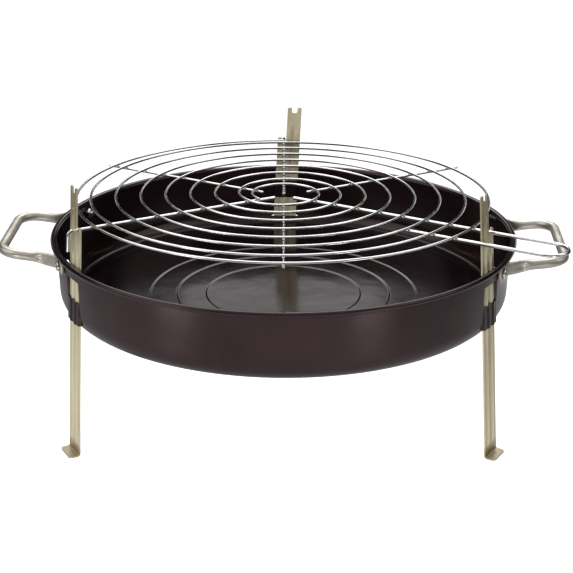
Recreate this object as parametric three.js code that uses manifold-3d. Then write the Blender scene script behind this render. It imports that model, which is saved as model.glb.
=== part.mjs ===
// Portable tabletop charcoal grill. An enamelled sheet-steel fire bowl stands on three strip legs
// that weave through straps pressed out of its wall. A spiral-wire cooking grid rests in a notch
// of each leg, and two tubular carrying handles are screwed to the bowl.
// Frame: millimetres, +Z up, -Y to the front, origin at the centre of the bowl's underside.
// Azimuths are degrees about +Z from +X, counter-clockwise seen from above.

import * as THREE from 'three';
import { mergeVertices } from 'three/addons/utils/BufferGeometryUtils.js';
import Module from 'manifold-3d';

// Heights
const TABLE_Z = -95.7; // the plane the feet stand on
const RIM_Z = 53.5; // centre of the bowl's rolled rim
const SPOKE_Z = 80.7; // centre of the grid's support spokes

// Fire bowl
const BOWL_SEGMENTS = 60;
const SHEET = 1.0; // enamelled sheet thickness
const WALL_TOP_R = 175.6; // outside of the wall under the rim
const WALL_LOW_R = 174.4; // outside of the wall where the bottom corner starts
const CORNER_R = 14.0;
const RIM_BEAD_R = 2.0;
const RIM_OUTER_R = 180.0;
const FLOOR_STEP = 0.5; // each embossed ring of the floor is this much higher than the one inside
const FLOOR_STEP_RADII = [61, 84, 105];

// Leg straps: three level slits in the wall free an upper strap, pressed in, and a lower one,
// pressed out, so that a leg passes outside the first and inside the second
const SLIT = 0.6;
const UPPER_STRAP_TOP = RIM_Z - 10.6;
const UPPER_STRAP_BOTTOM = RIM_Z - 26.2;
const LOWER_STRAP_TOP = RIM_Z - 26.8;
const LOWER_STRAP_BOTTOM = RIM_Z - 44.0;
const STRAP_CLEARANCE = 0.4; // between a strap and the leg it holds
const STRAP_FLAT = 10.5; // half width of the part of a strap that lies along the leg
const STRAP_END_SINK = 0.3; // a strap's ends lie this far inside the wall's outer face
const SLIT_HALF = 12.6; // half length of a slit

// Legs
const LEG_WIDTH = 20;
const LEG_SHEET = 1.2;
const LEG_TOP_Z = RIM_Z + 57.4;
const LEG_NARROW_WIDTH = 12.4; // upper end, above the notch
const LEG_GRID_R = 170.1; // radius of the strip's middle plane at the height of the spokes
const LEG_SPLAY = 2.88; // degrees the foot stands out
const FORK_GAP = 4.8;
const FORK_DEPTH = 4.9;
const NOTCH_WIDTH = 3.6;
const NOTCH_GAP = 0.3; // left under the spoke that rests in the notch
const SIDE_PRONG_RISE = 2.7; // top of the side prong above the spoke's centre
const FLUTE_RISE = 1.0;
const FLUTE_HALF = 3.6; // half width of a flute at its base
const FLUTES = [
  { at: 3.8, top: RIM_Z + 38 },
  { at: -4.6, top: RIM_Z + 11.5 },
];
const FLUTE_END_Z = TABLE_Z + 12;
const FOOT_LIP = 8.0; // from the strip's middle plane to the lip's outer edge
const FOOT_BEND = 2.2; // outside radius of the bend
const FOOT_CHAMFER = 2.2;
const LEGS = [
  { name: 'leg_left', spoke: 210, lean: 0 },
  { name: 'leg_right', spoke: 330, lean: 2.7 },
  { name: 'leg_rear', spoke: 90, lean: 2.7 },
];

// Grid
const SPOKE_R = 1.35; // support spokes and the handle
const WIRE_R = 1.0; // spiral and plain spokes
const WELD_GAP = 0.04; // the spiral lies this far above the spokes it is welded to
const SPIRAL_Z = SPOKE_Z + SPOKE_R + WIRE_R + WELD_GAP;
const SPIRAL_START = 210; // azimuth of the inner end, from which it runs clockwise
const SPIRAL_TURNS = 3000; // degrees from the inner end to the outer one
const SPIRAL_OVERHANG = 9; // degrees it runs past the first spoke
const SPIRAL_PITCH = 19.1;
const SPIRAL_BASE_R = 13.45;
const SPIRAL_INNER_R = 24.0;
const SPIRAL_OUTER_R = 159.4;
const SPIRAL_STEP = 15; // degrees between stations
const SUPPORT_SPOKES = [
  { name: 'spoke_rear', azimuth: 90, inner: 5.5 },
  { name: 'spoke_left_front', azimuth: 210, inner: 8.4 },
];
const HOOK_R = 177.5; // radius at which a support spoke turns down outside its leg
const HOOK_BEND = 3.0;
const HOOK_END_Z = RIM_Z + 12;
const PLAIN_SPOKES = [
  { name: 'spoke_front', azimuth: 270, inner: 20.8, outer: 162 },
  { name: 'spoke_left_back', azimuth: 150, inner: 18.2, outer: 168 },
  { name: 'spoke_right_back', azimuth: 30, inner: 20.3, outer: 167 },
];
const GRID_HANDLE_AZIMUTH = 330;
const GRID_HANDLE_INNER = 8.2;
const GRID_HANDLE_REACH = 220; // where the straight wires end and the loop begins
const GRID_HANDLE_WIDTH = 27; // between the two wires' centres
const GRID_HANDLE_RETURN = 117; // the second wire ends here, under the outer turns

// Bowl handles
const HANDLE_Z = RIM_Z - 7.6;
const HANDLE_LIFT = 3.4; // rise of the outer bar above the screws
const HANDLE_BAR_R = 213.5;
const HANDLE_HALF = 46.5; // half distance between the two arms
const HANDLE_CORNER = 16;
const HANDLE_BEND = 4.5; // between an arm and its screwed tab
const HANDLE_FLARE = 15; // the arms spread over this length to reach their tabs
const HANDLE_FLARE_BEND = 14;
const TUBE_R = 3.8;
const TAB_HALF_THICK = 1.3;
const TAB_HALF_TALL = 5.2;
const TAB_REACH = 6.2; // from the screw to the end of the tab
const TAB_BACK = 9; // from the screw to the bend
const TAB_GAP = 0.15; // between the tab and the wall
const SCREW_ANGLE = 21.3; // from the handle's middle, about the bowl's axis
const SCREW_R = 2.0;
const SCREW_CLEARANCE = 0.15;
const SCREW_HEAD_R = 3.9;
const SCREW_HEAD_RISE = 2.6;
const SCREW_HEAD_GAP = 0.1;
const NUT_R = 4.04; // across corners; 7 mm across flats
const NUT_THICK = 3.2;
const NUT_GAP = 0.7; // the tapered, curved wall leaves this much under a flat nut
const HANDLES = [
  { side: 'left', azimuth: 180, ends: ['rear', 'front'] },
  { side: 'right', azimuth: 356, ends: ['front', 'rear'] },
];

const radians = (degrees) => (degrees * Math.PI) / 180;
const xyz = (x, y, z) => new THREE.Vector3(x, y, z);

function finish(color, roughness, metalness) {
  return new THREE.MeshStandardMaterial({ color, roughness, metalness });
}
const ENAMEL = finish(0x3a3132, 0.22, 0.15);
const ZINC = finish(0xb4a97c, 0.42, 0.85);
const CHROME = finish(0xe4e4e2, 0.12, 1.0);
const NICKEL = finish(0xb3ad9f, 0.35, 0.9);
const BRIGHT_ZINC = finish(0xc9cac6, 0.28, 0.95);

const wasm = await Module();
wasm.setup();

// The manifold solid of a closed geometry
function solid(geometry) {
  const bare = geometry.clone();
  bare.deleteAttribute('normal');
  bare.deleteAttribute('uv');
  const merged = mergeVertices(bare, 1e-5);
  const index = Array.from(merged.index.array);
  const kept = [];
  for (let i = 0; i < index.length; i += 3) {
    const [a, b, c] = index.slice(i, i + 3);
    if (a !== b && b !== c && c !== a) kept.push(a, b, c);
  }
  return new wasm.Manifold(
    new wasm.Mesh({
      numProp: 3,
      vertProperties: new Float32Array(merged.attributes.position.array),
      triVerts: new Uint32Array(kept),
    }),
  );
}

// The geometry of a manifold solid
function surface(body) {
  const mesh = body.getMesh();
  const geometry = new THREE.BufferGeometry();
  geometry.setAttribute('position', new THREE.BufferAttribute(mesh.vertProperties, 3));
  geometry.setIndex(new THREE.BufferAttribute(mesh.triVerts, 1));
  const flat = geometry.toNonIndexed();
  flat.computeVertexNormals();
  return flat;
}

// One closed solid through a list of stations. Each station is a function that places a point of
// the flat outline in space, with the outline counter-clockwise about the direction of travel.
function loft(outline, stations) {
  const positions = [];
  for (const place of stations) {
    for (const point of outline) positions.push(...place(point).toArray());
  }
  const n = outline.length;
  const index = [];
  for (let i = 0; i + 1 < stations.length; i += 1) {
    for (let j = 0; j < n; j += 1) {
      const a = i * n + j;
      const b = i * n + ((j + 1) % n);
      index.push(a, b, a + n, b, b + n, a + n);
    }
  }
  const last = (stations.length - 1) * n;
  for (const [a, b, c] of THREE.ShapeUtils.triangulateShape(outline, [])) {
    index.push(c, b, a, last + a, last + b, last + c);
  }
  const geometry = new THREE.BufferGeometry();
  geometry.setAttribute('position', new THREE.Float32BufferAttribute(positions, 3));
  geometry.setIndex(index);
  const flat = geometry.toNonIndexed();
  flat.computeVertexNormals();
  return flat;
}

function circle(sides) {
  return Array.from({ length: sides }, (_, i) => {
    const angle = (2 * Math.PI * (i + 0.5)) / sides;
    return new THREE.Vector2(Math.cos(angle), Math.sin(angle));
  });
}

// A wire or tube through path points {at, along}. Its section's two axes are the fixed direction
// across, and the one square to that and to the path; sizeAt gives the half size along each.
function sweep(path, across, sides, sizeAt) {
  const stations = path.map(({ at, along }, i) => {
    const up = along.clone().cross(across).normalize();
    const [a, b] = sizeAt(i);
    return (p) => at.clone().addScaledVector(across, a * p.x).addScaledVector(up, b * p.y);
  });
  return loft(circle(sides), stations);
}

// Path points through corners [x, y] of a flat line, each turned with its own radius
function roundedPath(corners, radii, stepsPerArc) {
  const points = corners.map(([x, y]) => new THREE.Vector2(x, y));
  const path = [];
  const add = (at, along) => path.push({ at, along: along.clone().normalize() });
  points.forEach((point, i) => {
    if (i === 0) add(point, points[1].clone().sub(point));
    else if (i === points.length - 1) add(point, point.clone().sub(points[i - 1]));
    else {
      const into = point.clone().sub(points[i - 1]).normalize();
      const out = points[i + 1].clone().sub(point).normalize();
      const turn = Math.atan2(into.cross(out), into.dot(out));
      const side = Math.sign(turn);
      const reach = radii[i] * Math.tan(Math.abs(turn) / 2);
      const start = point.clone().addScaledVector(into, -reach);
      const normal = new THREE.Vector2(-into.y, into.x).multiplyScalar(side);
      const centre = start.clone().addScaledVector(normal, radii[i]);
      for (let k = 0; k <= stepsPerArc; k += 1) {
        const angle = (turn * k) / stepsPerArc;
        const at = start.clone().rotateAround(centre, angle);
        add(at, into.clone().rotateAround(new THREE.Vector2(), angle));
      }
    }
  });
  return path;
}

// ---- Fire bowl ----

const CORNER_Z = FLOOR_STEP * FLOOR_STEP_RADII.length + CORNER_R;
const CORNER_CENTRE_R = WALL_LOW_R - CORNER_R;

// Outside radius of the wall at height z
function wallRadius(z) {
  if (z < CORNER_Z) {
    return CORNER_CENTRE_R + Math.sqrt(CORNER_R ** 2 - (CORNER_Z - z) ** 2);
  }
  const t = (z - CORNER_Z) / (RIM_Z - RIM_BEAD_R - CORNER_Z);
  return WALL_LOW_R + (WALL_TOP_R - WALL_LOW_R) * t;
}

function arc(cx, cy, r, from, to, steps) {
  return Array.from({ length: steps + 1 }, (_, i) => {
    const angle = radians(from + ((to - from) * i) / steps);
    return new THREE.Vector2(cx + r * Math.cos(angle), cy + r * Math.sin(angle));
  });
}

// The stepped floor from the axis out, at one face of the sheet
function floorLine(z, shift) {
  const line = [new THREE.Vector2(0, z)];
  FLOOR_STEP_RADII.forEach((radius, i) => {
    line.push(new THREE.Vector2(radius - 0.5 - shift, z + FLOOR_STEP * i));
    line.push(new THREE.Vector2(radius + 0.5 - shift, z + FLOOR_STEP * (i + 1)));
  });
  return line;
}

function bowlShell() {
  const bead = [RIM_OUTER_R - RIM_BEAD_R, RIM_Z, RIM_BEAD_R];
  const lipR = 3.0;
  const lip = [WALL_TOP_R - SHEET + lipR, RIM_Z + RIM_BEAD_R - lipR, lipR];
  const inside = [
    ...arc(...lip, 90, 180, 3),
    ...arc(CORNER_CENTRE_R, CORNER_Z, CORNER_R - SHEET, 0, -90, 4),
    ...floorLine(SHEET, 0.4).reverse(),
  ];
  const outside = [
    ...floorLine(0, 0),
    ...arc(CORNER_CENTRE_R, CORNER_Z, CORNER_R, -90, 0, 4),
    new THREE.Vector2(WALL_TOP_R, RIM_Z - RIM_BEAD_R),
    ...arc(...bead, 220, 450, 6),
  ];
  const geometry = new THREE.LatheGeometry([...outside, ...inside], BOWL_SEGMENTS);
  return solid(geometry.rotateX(Math.PI / 2));
}

// ---- Leg frame ----
// Local axes: x along the strip's width (clockwise about the bowl), y outward, z up. A leg faces
// the bowl's axis just clockwise of its spoke, which rests in the notch beside the narrow end.

const NOTCH_AT = LEG_WIDTH / 2 - LEG_NARROW_WIDTH - NOTCH_WIDTH / 2;

function legMatrix({ spoke, lean }) {
  const azimuth = spoke + THREE.MathUtils.radToDeg(Math.asin(NOTCH_AT / LEG_GRID_R));
  const shear = new THREE.Matrix4().set(
    1, 0, Math.tan(radians(lean)), 0,
    0, 1, -Math.tan(radians(LEG_SPLAY)), 0,
    0, 0, 1, 0,
    0, 0, 0, 1,
  );
  return new THREE.Matrix4()
    .makeRotationZ(radians(azimuth - 90))
    .multiply(new THREE.Matrix4().makeTranslation(0, LEG_GRID_R, SPOKE_Z))
    .multiply(shear)
    .multiply(new THREE.Matrix4().makeTranslation(0, 0, -SPOKE_Z));
}

// Local y of the wall's outside at local x and height z, for a leg that leans sideways
function wallInLegFrame(x, z, lean) {
  const rise = z - SPOKE_Z;
  const across = x + rise * Math.tan(radians(lean));
  const legR = LEG_GRID_R - rise * Math.tan(radians(LEG_SPLAY));
  return Math.sqrt(wallRadius(z) ** 2 - across ** 2) - legR;
}

// A strap between two heights; outerFace is its local y along the leg. Its ends run into the wall.
function strap(bottom, top, outerFace, lean) {
  const end = SLIT_HALF + 1.6;
  const knee = SLIT_HALF - 0.2;
  const xs = [-end, -knee, -STRAP_FLAT, STRAP_FLAT, knee, end];
  const outline = [
    ...xs.map((x) => new THREE.Vector2(x, -SHEET)),
    ...[...xs].reverse().map((x) => new THREE.Vector2(x, 0)),
  ];
  const station = (z) => (p) => {
    const wallFace = wallInLegFrame(p.x, z, lean) - STRAP_END_SINK;
    const face = Math.abs(p.x) < knee ? outerFace : wallFace;
    return xyz(p.x, face + p.y, z);
  };
  return loft(outline, [station(bottom), station(top)]);
}

// The clearance hole of a handle screw, along local y
function screwBore(length) {
  const radius = SCREW_R + SCREW_CLEARANCE;
  return new THREE.CylinderGeometry(radius, radius, length, 12);
}

function fireBowl() {
  let bowl = bowlShell();
  const upperFace = -LEG_SHEET / 2 - STRAP_CLEARANCE;
  const lowerFace = LEG_SHEET / 2 + FLUTE_RISE + STRAP_CLEARANCE + SHEET;
  const low = LOWER_STRAP_BOTTOM - SLIT;
  const high = UPPER_STRAP_TOP + SLIT;
  for (const leg of LEGS) {
    const matrix = legMatrix(leg);
    const window = new THREE.BoxGeometry(2 * SLIT_HALF, 20, high - low);
    window.translate(0, 0, (high + low) / 2);
    bowl = bowl.subtract(solid(window.applyMatrix4(matrix)));
    const upper = strap(UPPER_STRAP_BOTTOM, UPPER_STRAP_TOP, upperFace, leg.lean);
    const lower = strap(LOWER_STRAP_BOTTOM, LOWER_STRAP_TOP, lowerFace, leg.lean);
    bowl = bowl.add(solid(upper.applyMatrix4(matrix))).add(solid(lower.applyMatrix4(matrix)));
  }
  for (const screw of screws()) {
    bowl = bowl.subtract(solid(screwBore(16).applyMatrix4(screw.matrix)));
  }
  return surface(bowl);
}

// ---- Legs ----

// A plate of the strip's own plane, between local y = back and back + thick
function plate(shape, back, thick) {
  const geometry = new THREE.ExtrudeGeometry(shape, {
    depth: thick,
    bevelEnabled: false,
    curveSegments: 4,
  });
  return geometry.rotateX(Math.PI / 2).translate(0, back + thick, 0);
}

function legBlank() {
  const left = -LEG_WIDTH / 2;
  const right = LEG_WIDTH / 2;
  const narrow = right - LEG_NARROW_WIDTH;
  const notchEnd = narrow - NOTCH_WIDTH;
  const notchZ = SPOKE_Z - SPOKE_R - NOTCH_GAP;
  const sideTop = SPOKE_Z + SIDE_PRONG_RISE;
  const forkLeft = (narrow + right - FORK_GAP) / 2;
  const forkRight = forkLeft + FORK_GAP;
  const forkZ = LEG_TOP_Z - FORK_DEPTH;
  const round = 1.2;
  const shape = new THREE.Shape();
  shape.moveTo(right, TABLE_Z + FOOT_BEND);
  shape.lineTo(left, TABLE_Z + FOOT_BEND);
  shape.lineTo(left, sideTop - round);
  shape.quadraticCurveTo(left, sideTop, left + round, sideTop);
  shape.lineTo(notchEnd - round, sideTop);
  shape.quadraticCurveTo(notchEnd, sideTop, notchEnd, sideTop - round);
  shape.lineTo(notchEnd, notchZ);
  shape.lineTo(narrow, notchZ);
  shape.lineTo(narrow, LEG_TOP_Z - round);
  shape.quadraticCurveTo(narrow, LEG_TOP_Z, narrow + round, LEG_TOP_Z);
  shape.lineTo(forkLeft, LEG_TOP_Z);
  shape.lineTo(forkLeft, forkZ + round);
  shape.quadraticCurveTo(forkLeft, forkZ, forkLeft + round, forkZ);
  shape.lineTo(forkRight - round, forkZ);
  shape.quadraticCurveTo(forkRight, forkZ, forkRight, forkZ + round);
  shape.lineTo(forkRight, LEG_TOP_Z);
  shape.lineTo(right - round, LEG_TOP_Z);
  shape.quadraticCurveTo(right, LEG_TOP_Z, right, LEG_TOP_Z - round);
  return plate(shape, -LEG_SHEET / 2, LEG_SHEET);
}

// One long trapezoidal bar, wide at local y = foot and narrow at y = crest, with pointed ends
function fluteBar(at, bottom, top, half, foot, crest) {
  const slope = 1.6;
  const taper = 5;
  const outline = [
    new THREE.Vector2(-half, foot),
    new THREE.Vector2(half, foot),
    new THREE.Vector2(half - slope, crest),
    new THREE.Vector2(-half + slope, crest),
  ];
  const station = (z, size, sink) => (p) =>
    xyz(at + p.x * size, foot + (p.y - foot) * sink, z);
  return loft(outline, [
    station(bottom - taper, 0.3, 0.1),
    station(bottom, 1, 1),
    station(top - taper, 1, 1),
    station(top, 0.3, 0.1),
  ]);
}

// The turned-out lip the leg stands on, with the bend above it
function foot() {
  const inner = -LEG_SHEET / 2;
  const outer = LEG_SHEET / 2;
  const tight = FOOT_BEND - LEG_SHEET;
  const top = TABLE_Z + FOOT_BEND + 1;
  const profile = [
    new THREE.Vector2(inner, top),
    ...arc(inner + FOOT_BEND, TABLE_Z + FOOT_BEND, FOOT_BEND, 180, 270, 4),
    new THREE.Vector2(FOOT_LIP, TABLE_Z),
    new THREE.Vector2(FOOT_LIP, TABLE_Z + LEG_SHEET),
    ...arc(outer + tight, TABLE_Z + FOOT_BEND, tight, 270, 180, 3),
    new THREE.Vector2(outer, top),
  ];
  const half = LEG_WIDTH / 2;
  const across = loft(profile, [
    (p) => xyz(-half, p.x, p.y),
    (p) => xyz(half, p.x, p.y),
  ]);
  const plan = [
    new THREE.Vector2(-half, -5),
    new THREE.Vector2(half, -5),
    new THREE.Vector2(half, FOOT_LIP - FOOT_CHAMFER),
    new THREE.Vector2(half - FOOT_CHAMFER, FOOT_LIP),
    new THREE.Vector2(-half + FOOT_CHAMFER, FOOT_LIP),
    new THREE.Vector2(-half, FOOT_LIP - FOOT_CHAMFER),
  ];
  const upright = loft(plan, [
    (p) => xyz(p.x, p.y, TABLE_Z - 5),
    (p) => xyz(p.x, p.y, TABLE_Z + 10),
  ]);
  return solid(across).intersect(solid(upright));
}

function leg(placing) {
  let body = solid(legBlank()).add(foot());
  for (const { at, top } of FLUTES) {
    const face = LEG_SHEET / 2;
    const ridge = fluteBar(at, FLUTE_END_Z, top, FLUTE_HALF, face - 0.2, face + FLUTE_RISE);
    const groove = fluteBar(
      at, FLUTE_END_Z + 1, top - 1, FLUTE_HALF - 0.5, -face - 0.2, -face + FLUTE_RISE,
    );
    body = body.add(solid(ridge)).subtract(solid(groove));
  }
  return surface(body).applyMatrix4(legMatrix(placing));
}

// ---- Cooking grid ----

// A soft floor: follows value where it is well above limit, and stays at limit below it
function easeAbove(value, limit, softness) {
  return limit + softness * Math.log(1 + Math.exp((value - limit) / softness));
}

// The spiral's radius: an even pitch, easing out of a circle at the start and into one at the end
function spiralRadius(turned) {
  const even = SPIRAL_BASE_R + (SPIRAL_PITCH * turned) / 360;
  return -easeAbove(-easeAbove(even, SPIRAL_INNER_R, 4), -SPIRAL_OUTER_R, 2);
}

function spiral() {
  const at = (turned) => {
    const angle = radians(SPIRAL_START - turned);
    const r = spiralRadius(turned);
    return xyz(r * Math.cos(angle), r * Math.sin(angle), SPIRAL_Z);
  };
  const count = Math.round((SPIRAL_TURNS + SPIRAL_OVERHANG) / SPIRAL_STEP);
  const path = Array.from({ length: count + 1 }, (_, i) => {
    const turned = -SPIRAL_OVERHANG + i * SPIRAL_STEP;
    return { at: at(turned), along: at(turned + 0.5).sub(at(turned - 0.5)).normalize() };
  });
  return sweep(path, xyz(0, 0, 1), 6, () => [WIRE_R, WIRE_R]);
}

// A round wire along a flat path whose x runs out from the grid's centre
function spokeWire(corners, radii, radius, upright, azimuth) {
  const place = (v, z0) => (upright ? xyz(v.x, 0, v.y) : xyz(v.x, v.y, z0));
  const path = roundedPath(corners, radii, upright ? 4 : 12).map(({ at, along }) => ({
    at: place(at, SPOKE_Z),
    along: place(along, 0),
  }));
  const across = upright ? xyz(0, 1, 0) : xyz(0, 0, 1);
  return sweep(path, across, 8, () => [radius, radius]).rotateZ(radians(azimuth));
}

function supportSpoke({ azimuth, inner }) {
  const corners = [[inner, SPOKE_Z], [HOOK_R, SPOKE_Z], [HOOK_R, HOOK_END_Z]];
  return spokeWire(corners, [0, HOOK_BEND, 0], SPOKE_R, true, azimuth);
}

function plainSpoke({ azimuth, inner, outer }) {
  const z = SPIRAL_Z - 2 * WIRE_R - WELD_GAP;
  return spokeWire([[inner, z], [outer, z]], [0, 0], WIRE_R, true, azimuth);
}

function gridHandle() {
  const reach = GRID_HANDLE_REACH + GRID_HANDLE_WIDTH / 2;
  const corners = [
    [GRID_HANDLE_INNER, 0],
    [reach, 0],
    [reach, -GRID_HANDLE_WIDTH],
    [GRID_HANDLE_RETURN, -GRID_HANDLE_WIDTH],
  ];
  const bend = GRID_HANDLE_WIDTH / 2 - 0.01;
  return spokeWire(corners, [0, bend, bend, 0], SPOKE_R, false, GRID_HANDLE_AZIMUTH);
}

// ---- Bowl handles and their screws ----

const TAB_R = wallRadius(HANDLE_Z) + TAB_GAP + TAB_HALF_THICK; // middle of a tab, from the axis

// Each screw's place: local y runs out along the screw from the bowl's axis
function screws() {
  return HANDLES.flatMap(({ side, azimuth, ends }) => [-1, 1].map((sign, i) => ({
    name: `${side}_${ends[i]}`,
    matrix: new THREE.Matrix4()
      .makeRotationZ(radians(azimuth + sign * SCREW_ANGLE - 90))
      .multiply(new THREE.Matrix4().makeTranslation(0, TAB_R, HANDLE_Z)),
  })));
}

function bowlHandle({ azimuth }) {
  const turn = radians(SCREW_ANGLE);
  const screw = new THREE.Vector2(TAB_R * Math.cos(turn), TAB_R * Math.sin(turn));
  const tab = new THREE.Vector2(-Math.sin(turn), Math.cos(turn));
  const end = screw.clone().addScaledVector(tab, TAB_REACH);
  const bend = screw.clone().addScaledVector(tab, -TAB_BACK);
  const flatTo = bend.x + 8;
  const roundFrom = bend.x + 21;
  const half = [
    [end.x, end.y], [bend.x, bend.y], [bend.x + HANDLE_FLARE, HANDLE_HALF],
    [roundFrom, HANDLE_HALF], [HANDLE_BAR_R, HANDLE_HALF],
  ];
  const corners = [...half, ...half.map(([x, y]) => [x, -y]).reverse()];
  const radii = [0, HANDLE_BEND, HANDLE_FLARE_BEND, 0, HANDLE_CORNER];
  const flat = roundedPath(corners, [...radii, ...[...radii].reverse()], 5);
  const lift = (x) => HANDLE_LIFT * THREE.MathUtils.smoothstep(x, bend.x + 6, HANDLE_BAR_R);
  const path = flat.map(({ at, along }) => ({
    at: xyz(at.x, at.y, HANDLE_Z + lift(at.x)),
    along: xyz(along.x, along.y, 0),
  }));
  const sizeAt = (i) => {
    const round = THREE.MathUtils.smoothstep(path[i].at.x, flatTo, roundFrom);
    return [
      THREE.MathUtils.lerp(TAB_HALF_TALL, TUBE_R, round),
      THREE.MathUtils.lerp(TAB_HALF_THICK, TUBE_R, round),
    ];
  };
  let body = solid(sweep(path, xyz(0, 0, 1), 12, sizeAt).rotateZ(radians(azimuth)));
  for (const { matrix } of screws()) {
    body = body.subtract(solid(screwBore(12).applyMatrix4(matrix)));
  }
  return surface(body);
}

// Pan-head screw: local y = 0 is the middle of the tab, the head is outside
function handleScrew() {
  const seat = TAB_HALF_THICK + SCREW_HEAD_GAP;
  const tip = -TAB_HALF_THICK - SHEET - NUT_THICK - 2.5;
  const head = SCREW_HEAD_R - 0.9;
  return new THREE.LatheGeometry([
    new THREE.Vector2(0, tip),
    new THREE.Vector2(SCREW_R - 0.4, tip),
    new THREE.Vector2(SCREW_R, tip + 0.5),
    new THREE.Vector2(SCREW_R, seat),
    new THREE.Vector2(SCREW_HEAD_R, seat),
    new THREE.Vector2(SCREW_HEAD_R, seat + 1.0),
    new THREE.Vector2(head, seat + SCREW_HEAD_RISE - 0.6),
    new THREE.Vector2(head / 2, seat + SCREW_HEAD_RISE),
    new THREE.Vector2(0, seat + SCREW_HEAD_RISE),
  ], 12);
}

// Hexagonal nut against the inside of the wall, with a bore the shank passes through
function handleNut() {
  const face = -TAB_HALF_THICK - TAB_GAP - SHEET - NUT_GAP;
  const body = new THREE.CylinderGeometry(NUT_R, NUT_R, NUT_THICK, 6);
  const nut = solid(body).subtract(solid(screwBore(3 * NUT_THICK)));
  return surface(nut).translate(0, face - NUT_THICK / 2, 0);
}

// ---- Assembly ----

const group = new THREE.Group();

function addNode(name, geometry, material) {
  const mesh = new THREE.Mesh(geometry, material);
  mesh.name = name;
  group.add(mesh);
}

addNode('fire_bowl', fireBowl(), ENAMEL);
for (const placing of LEGS) addNode(placing.name, leg(placing), ZINC);
addNode('grid_spiral', spiral(), CHROME);
for (const spoke of SUPPORT_SPOKES) addNode(spoke.name, supportSpoke(spoke), CHROME);
for (const spoke of PLAIN_SPOKES) addNode(spoke.name, plainSpoke(spoke), CHROME);
addNode('grid_handle', gridHandle(), CHROME);
for (const handle of HANDLES) addNode(`bowl_handle_${handle.side}`, bowlHandle(handle), NICKEL);
for (const { name, matrix } of screws()) {
  addNode(`handle_screw_${name}`, handleScrew().applyMatrix4(matrix), BRIGHT_ZINC);
  addNode(`handle_nut_${name}`, handleNut().applyMatrix4(matrix), BRIGHT_ZINC);
}

export default group;
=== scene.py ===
"""Looks of the portable tabletop grill: enamelled fire bowl, strip legs, wire grid, tube handles.

Lengths are millimetres in the row frame (+Z up, -Y to the front, origin under the bowl's middle)
until a piece is made, where they become metres. Azimuths are degrees about +Z from +X.
"""

import math

import bmesh
import bpy
import numpy as np
from mathutils import Matrix, Vector


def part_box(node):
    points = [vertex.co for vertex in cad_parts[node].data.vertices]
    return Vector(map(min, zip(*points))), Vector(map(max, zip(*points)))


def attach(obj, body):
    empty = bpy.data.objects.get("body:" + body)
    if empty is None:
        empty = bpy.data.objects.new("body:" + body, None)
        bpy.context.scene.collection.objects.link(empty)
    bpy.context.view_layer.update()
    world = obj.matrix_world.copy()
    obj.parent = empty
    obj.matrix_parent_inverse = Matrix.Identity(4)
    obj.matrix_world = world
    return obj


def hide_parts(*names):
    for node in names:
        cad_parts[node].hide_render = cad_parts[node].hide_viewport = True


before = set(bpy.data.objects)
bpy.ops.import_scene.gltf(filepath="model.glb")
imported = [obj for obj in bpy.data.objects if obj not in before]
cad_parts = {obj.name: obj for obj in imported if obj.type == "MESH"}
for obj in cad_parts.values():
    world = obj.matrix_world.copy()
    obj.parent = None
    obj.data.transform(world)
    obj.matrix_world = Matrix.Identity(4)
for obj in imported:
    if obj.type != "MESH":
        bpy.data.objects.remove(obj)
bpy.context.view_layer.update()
MM = 0.001

# ---- Sizes shared with the CAD ----


def level(node, share):
    """Height of a CAD node's box in mm, from its lowest (share 0) to its highest point (share 1)."""
    low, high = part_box(node)
    return (low.z + (high.z - low.z) * share) / MM


TABLE_Z = level("leg_left", 0)
LEG_TOP_Z = level("leg_left", 1)
SPOKE_Z = level("grid_handle", 0.5)
SPIRAL_Z = level("grid_spiral", 0.5)
HANDLE_Z = level("handle_screw_left_front", 0.5)
HOOK_END_Z = level("spoke_rear", 0)
RIM_BEAD_R = 2.0
RIM_Z = level("fire_bowl", 1) - RIM_BEAD_R

SHEET = 1.0
WALL_TOP_R = 175.6
WALL_LOW_R = 174.4
CORNER_R = 14.0
RIM_OUTER_R = 180.0
LIP_R = 3.0
FLOOR_STEP = 0.5
FLOOR_STEP_RADII = (61, 84, 105)
STEP_WIDTH = 1.7  # over which a floor step rises
RIM_TURN = (220, 450)  # angles between which the rolled rim turns
LEAN_FADES_OVER = 20  # degrees beside a leg over which the wall's columns stop leaning with it
CORNER_Z = FLOOR_STEP * len(FLOOR_STEP_RADII) + CORNER_R
CORNER_CENTRE_R = WALL_LOW_R - CORNER_R

SLIT = 0.4
UPPER_STRAP = (RIM_Z - 26.2, RIM_Z - 10.6)
LOWER_STRAP = (RIM_Z - 44.0, RIM_Z - 26.8)
SLIT_HALF = 12.0
STRAP_FLAT = 10.3
STRAP_CLEARANCE = 0.4
STRAP_FOLD = 0.9  # share of the flutes that shows through the outer strap
STRAP_NEAR = 9.0  # a leg's straps are within this distance of its middle plane
SLIT_SEARCH = 5.0  # slits are looked for from this far outside the corner's centre

LEG_HALF = 10.0
LEG_SHEET = 1.2
NARROW_FROM = -2.4  # local x where the narrow upper end begins
NOTCH_FROM = -6.0
FORK = (1.4, 6.2)  # local x of the fork's two sides
FORK_Z = LEG_TOP_Z - 4.9
NOTCH_Z = SPOKE_Z - 1.35 - 0.3
SIDE_PRONG_Z = SPOKE_Z + 2.7
LEG_GRID_R = 170.1
LEG_SPLAY = 2.88  # degrees outward at the foot
NOTCH_AT = -4.2
FLUTE_RISE = 1.2
FLUTE_HALF = 2.8
FLUTE_TAPER = 8.0  # length of a flute's pointed end
FLUTE_SHARPNESS = 1.25
FLUTES = ((3.8, RIM_Z + 38.0), (-4.6, RIM_Z + 11.5))  # local x and top of each flute
FLUTE_END_Z = TABLE_Z + 9.0
FOOT_BEND = 1.6  # of the strip's middle plane
FOOT_LIP = 8.0
DIMPLE_ABOVE = 3.4
DIMPLE_R = 0.8
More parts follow.
